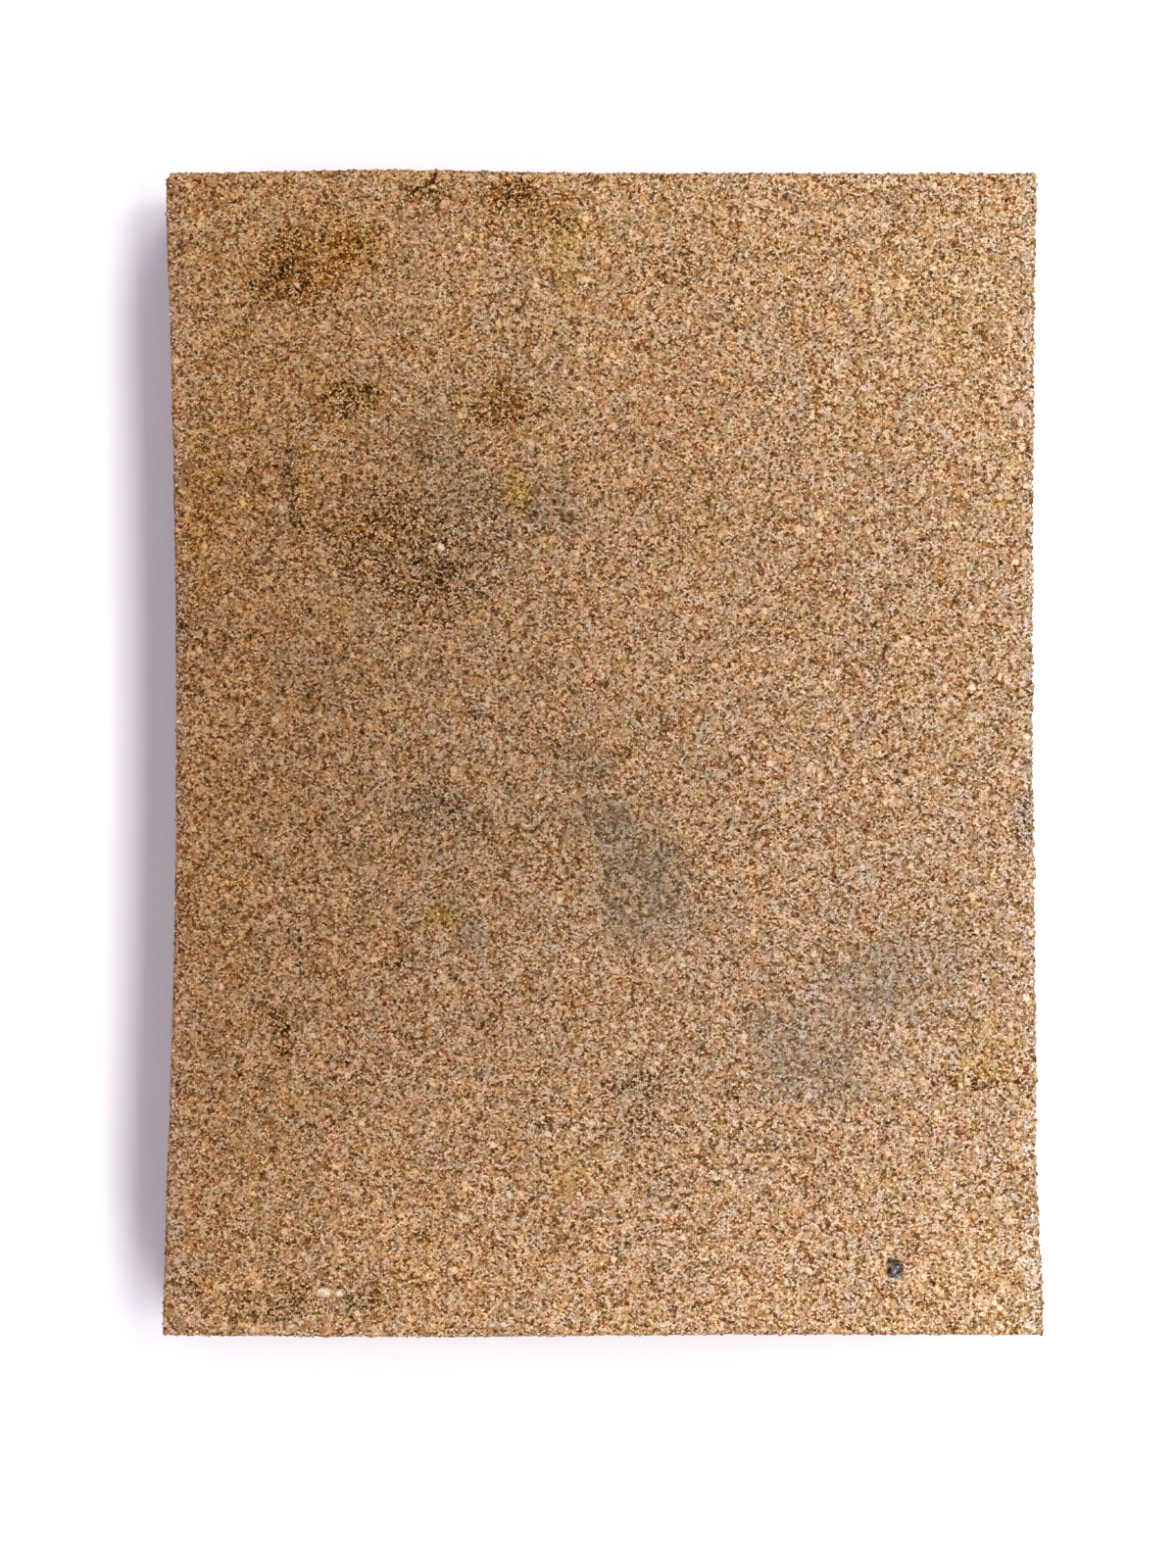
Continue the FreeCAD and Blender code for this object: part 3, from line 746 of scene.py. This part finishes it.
def stain(colour, x, y, tint, patches, warp_x, warp_y, mottling):
    """Multiplies a colour by one kind of soiling, in patches with uneven edges. A tint may have a fourth
    channel, as a film has."""
    for centre_x, centre_y, half_x, half_y, strength in patches:
        bend = STAIN_BEND * min(half_x, half_y, STAIN_BEND_SIZE)
        away = np.hypot(
            (x - centre_x + bend * warp_x) / (STAIN_REACH * half_x),
            (y - centre_y + bend * warp_y) / (STAIN_REACH * half_y),
        )
        mask = strength * smoothstep(*STAIN_FADE, away + EDGE_MOTTLE * mottling)
        mask = mask * (1.0 + INNER_MOTTLE * mottling)
        for channel, share in enumerate(tint):
            colour[:, channel] *= 1.0 - np.clip(mask, 0.0, 1.0) * (1.0 - share)


def soiling_and_painted_light(points):
    """What the film of dirt, with the painted light and shade that it carries, and the soaked-in soiling
    multiply the cork's colour by at each point. The film's fourth column is how much of the granules shows
    through it."""
    x, y, z = points.T
    along = y / HALF_LENGTH
    warp_x = layered_drift(x, y, STAIN_WARP, 31)
    warp_y = layered_drift(x, y, STAIN_WARP, 41)
    mottling = layered_drift(x, y, STAIN_MOTTLE, 51)
    # Painted light: the face grows lighter and paler towards the right side, as the lamps on the right fall
    # on it.
    face = np.array(FACE_BASE) + np.outer(x / HALF_WIDTH, FACE_LIGHT_LEAN)
    face += np.outer(along ** 2, FACE_ENDS) + np.outer(along, FACE_TIP)
    for centre_x, spread_x, centre_y, spread_y, change in SHADES:
        place = swell(x, centre_x, spread_x, 1.0) * swell(y, centre_y, spread_y, 1.0)
        face += np.outer(place, change)
    # Painted light at the rims: bluer and paler at the edges.
    for begins, full, change in PAINTED_LIGHT_RIMS:
        face += np.outer(smoothstep(begins, full, x), change)
    soaked = np.ones_like(face)
    face = np.column_stack([face, np.ones(len(face))])
    # The films and the smear, and the pit's painted shadow.
    for tint, patches in (*FILMS.values(), SMEAR, PIT_PAINTED_SHADOW):
        stain(face, x, y, tint, patches, warp_x, warp_y, mottling)
    for tint, patches in SOAKED.values():
        stain(soaked, x, y, tint, patches, warp_x, warp_y, mottling)
    hue = np.outer(layered_drift(x, y, HUE_DRIFT_SIZE, 61), HUE_DRIFT)
    face[:, :3] *= 1.0 + hue + SHADE_DRIFT * layered_drift(x, y, SHADE_DRIFT_SIZE, 71)[:, None]

    # The sides are grimier, most of all next to the arrises, where the darkening is partly painted shade.
    blotches = layered_drift(x + y, z, GRIME_BLOTCH_SIZE, 81)
    rim = np.minimum(z - BLOCK_LOW.z, BLOCK_HIGH.z - z)
    grime_and_shade = GRIME_AND_SHADE_AT_ARRIS + GRIME_AND_SHADE_EASE * smoothstep(*GRIME_AND_SHADE_REACH, rim) + GRIME_BLOTCH * blotches
    side = np.column_stack([np.outer(grime_and_shade, GRIME_HUE), np.ones(len(grime_and_shade))])
    upper = smoothstep(BLOCK_HIGH.z - UPPER_FADE[0], BLOCK_HIGH.z - UPPER_FADE[1], z)[:, None]
    return side + (face - side) * upper, 1.0 + (soaked - 1.0) * upper


def make_cork_body():
    low, high = BLOCK_LOW, BLOCK_HIGH
    grids = [
        grid_lines(low.x, high.x, [GRIT.x]),
        grid_lines(low.y, high.y, [GRIT.y]),
        grid_lines(low.z, high.z),
    ]
    straight, quads = box_skin(*grids)
    points = block_points(straight)
    piece = new_object("cork_body", smooth_mesh("cork_body", points, quads))
    for name, tints in zip(("film_and_painted_light", "soiling"), soiling_and_painted_light(points)):
        add_colours(piece.data, name, tints)
    coarseness = piece.data.attributes.new("coarseness", "FLOAT", "POINT")
    coarseness.data.foreach_set("value", side_coarseness(points).astype(np.float32))
    raise_grain(piece)
    add_bake_map(piece.data, straight, quads, low, high)
    piece.data.materials.clear()
    piece.data.materials.append(cork_material())
    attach(piece, "root")
    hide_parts("cork_block")


# ---------------------------------------------------------------- lodged bits and proud grains

def ball(level):
    """A unit ball's points and triangles, which the stones are cut from."""
    shell = bmesh.new()
    bmesh.ops.create_icosphere(shell, subdivisions=level, radius=1.0)
    points = np.array([vert.co[:] for vert in shell.verts])
    faces = np.array([[vert.index for vert in face.verts] for face in shell.faces])
    shell.free()
    return points, faces


STONE_REACH = 1.15               # a stone's corners are never further out than this
FACING_LEAST = 0.05              # a facet cuts only what faces it by at least this much
BUMPS = 3.0                      # the roughness' bumps in a unit of length


def cut_stone(points, rng, facets, flattest, roughness=0.0):
    """Cuts a unit ball to an angular stone with random facets, and roughens it."""
    normals = rng.normal(size=(facets, 3))
    normals /= np.linalg.norm(normals, axis=1)[:, None]
    reach = rng.uniform(flattest, 1.0, facets)
    facing = points @ normals.T
    cut = np.where(facing > FACING_LEAST, reach / np.maximum(facing, FACING_LEAST), STONE_REACH)
    stone = points * np.minimum(cut.min(axis=1), STONE_REACH)[:, None]
    if roughness > 0.0:
        offset = Vector(rng.uniform(-50.0, 50.0, 3))
        bumps = [fine_noise.fractal(Vector(point) * BUMPS + offset, 0.9, 2.2, 4) for point in stone]
        stone = stone + points * roughness * np.array(bumps)[:, None]
    return stone


def fitted(stone, low, high):
    """Scales and moves a stone so that it fills a box."""
    least, most = stone.min(axis=0), stone.max(axis=0)
    return low + (stone - least) / (most - least) * (high - low)


def add_piece(name, mesh, material, node):
    piece = new_object(name, mesh)
    piece.data.materials.append(material)
    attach(piece, "root")
    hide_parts(node)


# A small piece's finish. Sizes are shares of its grain, and the tint multiplies its colour.
SPECKLE_WARP_SIZE = 1.3
SPECKLE_WARP = 0.8
SPECKLE_FINE_SIZE = 0.4
SPECKLE_MOTTLE = 0.2
PORE_TINT = (0.45, 0.36, 0.28, 1.0)
PORE_REACH = 0.12
PORE_MOST = 0.6


def speckled_material(name, tones, grain, tone_spread, bump, gloss=0.25, rough=(0.7, 0.95), shaded=False):
    """A small piece's finish: grainy shades from its tones, with dark pores and a fine bump. A shaded piece
    is darker where its attribute of painted shade says so."""
    made, graph, shader = new_material(name)
    place = graph.scaled(graph.node("ShaderNodeTexCoord").outputs["Object"], 1.0 / MM)
    wobble = graph.scaled(graph.noise(place, SPECKLE_WARP_SIZE * grain)["Color"], SPECKLE_WARP * grain)
    warped = graph.vector("ADD", place, wobble)
    cell = graph.part(graph.cells(warped, grain)["Color"], 0)
    fine = graph.noise(place, SPECKLE_FINE_SIZE * grain, detail=3.0)["Fac"]
    shade = graph.mapped(cell, 0.0, 1.0, 0.5 - tone_spread, 0.5 + tone_spread)
    mottled = graph.mapped(fine, 0.25, 0.75, -SPECKLE_MOTTLE, SPECKLE_MOTTLE)
    shade = graph.math("ADD", shade, mottled, clamp=True)
    colour = graph.ramp(shade, tones)
    border = graph.cells(warped, grain, "DISTANCE_TO_EDGE")["Distance"]
    pore = graph.mapped(border, 0.0, PORE_REACH, PORE_MOST, 0.0, smooth=True)
    colour = graph.tint(pore, colour, PORE_TINT, "MULTIPLY")
    if shaded:
        painted_shade = graph.node("ShaderNodeAttribute", attribute_name="painted_shade").outputs["Color"]
        colour = graph.tint(1.0, colour, painted_shade, "MULTIPLY")
    height = graph.math("MULTIPLY", graph.math("SUBTRACT", fine, pore), bump)
    connect(graph, shader, colour, graph.mapped(shade, 0.0, 1.0, rough[1], rough[0]), height, gloss)
    return made


# The grit's left and upper flanks, painted black as their shadow, which end over these stretches from its
# middle, and its pore, painted black as shade.
GRIT_LIT = ((-0.62, -0.38), (0.70, 0.46))
FLANK_DEPTH = 0.15
FLANK_SHADE = 0.10
GRIT_PORE = (0.24, -0.22)
PORE_RADII = (0.10, 0.22)
PORE_DEPTH = 0.12


def make_grit():
    """The dark crumb that is pressed into the upper face. Its left and upper flanks are painted black as
    their shadow, and its one pore is painted black as shade."""
    points, faces = ball(5)
    rng = np.random.default_rng(SEED + 101)
    stone = cut_stone(points, rng, facets=9, flattest=0.58, roughness=0.20)
    stone = fitted(stone, np.array(GRIT_LOW), np.array(GRIT_HIGH))
    x, y = (stone[:, :2] - np.array(GRIT)[:2]).T
    lit = smoothstep(*GRIT_LIT[0], x) * smoothstep(*GRIT_LIT[1], y)
    pore = smoothstep(*PORE_RADII, np.hypot(x - GRIT_PORE[0], y - GRIT_PORE[1]))
    stone[:, 2] -= PORE_DEPTH * (1.0 - pore) + FLANK_DEPTH * (1.0 - lit)
    mesh = smooth_mesh("grit_crumb", stone, faces)
    # Painted shadow on the left and upper flanks, and painted shade in the pore.
    add_colours(mesh, "painted_shade", np.outer(FLANK_SHADE + (1.0 - FLANK_SHADE) * lit * pore, np.ones(3)))
    material = speckled_material(
        "dark_grit", GRIT_TONES, grain=0.36, tone_spread=0.42, bump=0.03, gloss=0.4, rough=(0.45, 0.85),
        shaded=True,
    )
    add_piece("grit_crumb", mesh, material, "lodged_grit")


def make_chips():
    points, faces = ball(4)
    material = speckled_material("pale_cork", PALE_TONES, grain=0.35, tone_spread=0.30, bump=0.02)
    for number, node in enumerate(CHIPS):
        low, high = (np.array(corner / MM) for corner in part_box(node))
        rng = np.random.default_rng(SEED + 111 + number)
        stone = fitted(cut_stone(points, rng, facets=9, flattest=0.70, roughness=0.12), low, high)
        name = node + "_flake"
        add_piece(name, smooth_mesh(name, stone, faces), material, node)


def cad_grains():
    """Each proud granule of the CAD node as its middle and half size: the node is one mesh, and its
    granules stand apart along the block."""
    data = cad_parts["edge_granules"].data
    points = np.array([vert.co[:] for vert in data.vertices]) / MM
    points = points[np.argsort(points[:, 1])]
    groups = np.split(points, np.where(np.diff(points[:, 1]) > CAD_GRAIN_GAP)[0] + 1)
    return [((g.min(0) + g.max(0)) / 2.0, (g.max(0) - g.min(0)) / 2.0) for g in groups]


def edge_spots(rng, side, count):
    """Random places on one side of the straight block, most of them next to the upper face."""
    low, high = np.array(BLOCK_LOW), np.array(BLOCK_HIGH)
    spots = rng.uniform(low, high, (count, 3))
    near_top = rng.random(count) < NEAR_TOP_SHARE
    spots[near_top, 2] = high[2] - np.abs(rng.normal(*NEAR_TOP, near_top.sum()))
    axis, end = {"left": (0, low), "right": (0, high), "foot": (1, low), "head": (1, high)}[side]
    spots[:, axis] = end[axis]
    return np.clip(spots, low, high)


def make_edge_grains():
    """The proud granules along the edges: the CAD's large ones, and many small ones."""
    points, faces = ball(2)
    rng = np.random.default_rng(SEED + 131)
    stones = []
    for middle, half in cad_grains():
        stone = cut_stone(points, rng, facets=9, flattest=0.72)
        stones.append(stone * half * CAD_GRAIN_SIZE + middle)
    inward = {"left": (1, 0, 0), "right": (-1, 0, 0), "foot": (0, 1, 0), "head": (0, -1, 0)}
    for side, (count, scale) in EDGE_GRAINS.items():
        spots = block_points(edge_spots(rng, side, count))
        sizes = scale * rng.uniform(*GRAIN_RADII, (count, 1)) * rng.uniform(*GRAIN_STRETCH, (count, 3))
        for spot, size in zip(spots, sizes):
            middle = spot + np.array(inward[side]) * GRAIN_SUNK[0] * size - UP * GRAIN_SUNK[1] * size[2]
            stones.append(cut_stone(points, rng, facets=8, flattest=0.65) * size + middle)

    # The tuft of granules round the fibre's root.
    root_low, root_high = (np.array(corner / MM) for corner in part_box("edge_fibre"))
    for along, below, radius in TUFT:
        middle = np.array((root_low[0] + TUFT_OUT, root_high[1] + along, BLOCK_HIGH.z - below))
        stones.append(cut_stone(points, rng, facets=8, flattest=0.65) * radius + middle)
    step = len(points)
    all_faces = np.concatenate([faces + step * number for number in range(len(stones))])
    mesh = smooth_mesh("edge_grains", np.concatenate(stones), all_faces)
    material = speckled_material("cork_grain", CORK_TONES, grain=0.34, tone_spread=0.5, bump=0.02)
    add_piece("edge_grains", mesh, material, "edge_granules")


def make_whisker():
    """The curled fibre on the right side: a tapering tube along the CAD fibre's arc."""
    low, high = (np.array(corner / MM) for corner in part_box("edge_fibre"))
    thick = (high[2] - low[2]) / 2.0
    bend = high[0] - low[0] - thick
    middle = np.array((low[0], high[1] - thick - bend, (low[2] + high[2]) / 2.0))
    rings, around = FIBRE_RINGS, FIBRE_SIDES
    points = []
    for ring in range(rings):
        part = ring / (rings - 1.0)
        angle = math.radians(90.0 - FIBRE_SWEEP * part)
        outward = np.array((math.cos(angle), math.sin(angle), 0.0))
        uneven = 1.0 + FIBRE_WAVES[0] * math.sin(FIBRE_WAVES[1] * part + 1.0)
        radius = thick * (1.0 - FIBRE_TAPER * part) * uneven
        centre = middle + outward * bend + UP * FIBRE_LIFT * part * part
        for turn in range(around):
            roll = 2.0 * math.pi * turn / around
            points.append(centre + outward * radius * math.cos(roll) + UP * radius * math.sin(roll))
    faces = [tuple(range(around)), tuple(reversed(range((rings - 1) * around, rings * around)))]
    for ring in range(rings - 1):
        for turn in range(around):
            here, following = ring * around + turn, ring * around + (turn + 1) % around
            faces.append((here, here + around, following + around, following))
    material = speckled_material("cork_fibre", FIBRE_TONES, grain=0.18, tone_spread=0.4, bump=0.008)
    add_piece("whisker", smooth_mesh("whisker", points, faces), material, "edge_fibre")


# ---------------------------------------------------------------- floor, light and camera

FLOOR_REACH = 0.80               # metres, as far as the key light still shows it white
CAMERA_HEIGHT = 0.80             # above the block's upper face
CAMERA_SIDE = -1.515             # the camera stands a little left of the block's middle, and below it
CAMERA_DOWN = -3.13
LENS = 178.6
KEY_PLACE = (0.315, -0.06, 1.5)  # the lamps' places and sizes are in metres
KEY_SIZE = (0.28, 1.8)
KEY_POWER = 24.6
KEY_COLOUR = (1.0, 0.995, 0.97)
SIDE_PLACE = (0.98, 0.14, 0.69)
SIDE_TILT = 55.0                 # degrees
SIDE_SIZE = (0.5, 0.6)
SIDE_POWER = 7.0
SIDE_COLOUR = (1.0, 0.99, 0.97)
FILL_STRENGTH = 1.08
FILL_ABOVE = (0.57, 0.52, 0.635, 1.0)
FILL_AT_HORIZON = (0.95, 0.95, 0.97, 1.0)
HORIZON = (0.22, 0.03)           # how high the horizon's colour begins, and is full
FLOOR_COLOUR = (0.94, 0.94, 0.95, 1.0)
FLOOR_ROUGHNESS = (0.75, 0.85)
FLOOR_CLOUD = 0.3                # the size of its patches of roughness, in metres
FLOOR_GLOSS = 0.1


def make_floor():
    corners = [(-1, -1), (1, -1), (1, 1), (-1, 1)]
    points = [(x * FLOOR_REACH / MM, y * FLOOR_REACH / MM, 0.0) for x, y in corners]
    floor = new_object("floor", smooth_mesh("floor", points, [(0, 1, 2, 3)]))
    made, graph, shader = new_material("white_sweep")
    place = graph.node("ShaderNodeTexCoord").outputs["Object"]
    cloud = graph.noise(place, FLOOR_CLOUD)["Fac"]
    shader.inputs["Base Color"].default_value = FLOOR_COLOUR
    graph.tree.links.new(graph.mapped(cloud, 0.3, 0.7, *FLOOR_ROUGHNESS), shader.inputs["Roughness"])
    shader.inputs["Specular IOR Level"].default_value = FLOOR_GLOSS
    floor.data.materials.append(made)


def soft_light(name, place, tilt, size, power, colour):
    """A rectangular soft box, in metres. It faces straight down, and is then tilted about Y by `tilt`
    degrees."""
    data = bpy.data.lights.new(name, "AREA")
    data.shape = "RECTANGLE"
    data.size, data.size_y = size
    data.energy = power
    data.color = colour
    lamp = new_object(name, data)
    lamp.location = place
    lamp.rotation_euler = (0.0, math.radians(tilt), 0.0)


def make_world():
    """A faintly violet fill from above, brighter towards the horizon, as in a white room."""
    world = bpy.data.worlds.new("studio")
    bpy.context.scene.world = world
    world.use_nodes = True
    graph = Graph(world.node_tree)
    background = world.node_tree.nodes["Background"]
    direction = graph.node("ShaderNodeTexCoord").outputs["Generated"]
    height = graph.part(direction, 2)
    horizon = graph.mapped(height, *HORIZON, smooth=True)
    colour = graph.tint(horizon, FILL_ABOVE, FILL_AT_HORIZON)
    world.node_tree.links.new(colour, background.inputs["Color"])
    background.inputs["Strength"].default_value = FILL_STRENGTH


def make_lights():
    make_world()
    soft_light("key", KEY_PLACE, 0.0, KEY_SIZE, KEY_POWER, KEY_COLOUR)
    soft_light("side_fill", SIDE_PLACE, SIDE_TILT, SIDE_SIZE, SIDE_POWER, SIDE_COLOUR)


def make_camera():
    data = bpy.data.cameras.new("camera")
    data.sensor_width = 36.0
    data.lens = LENS
    data.clip_end = 20.0
    camera = new_object("camera", data)
    camera.location = (CAMERA_SIDE * MM, CAMERA_DOWN * MM, BLOCK_HIGH.z * MM + CAMERA_HEIGHT)
    bpy.context.scene.camera = camera
    bpy.context.scene.view_settings.view_transform = "Standard"
    bpy.context.scene.view_settings.look = "None"


make_camera()
make_floor()
make_lights()
make_cork_body()
make_grit()
make_chips()
make_edge_grains()
make_whisker()
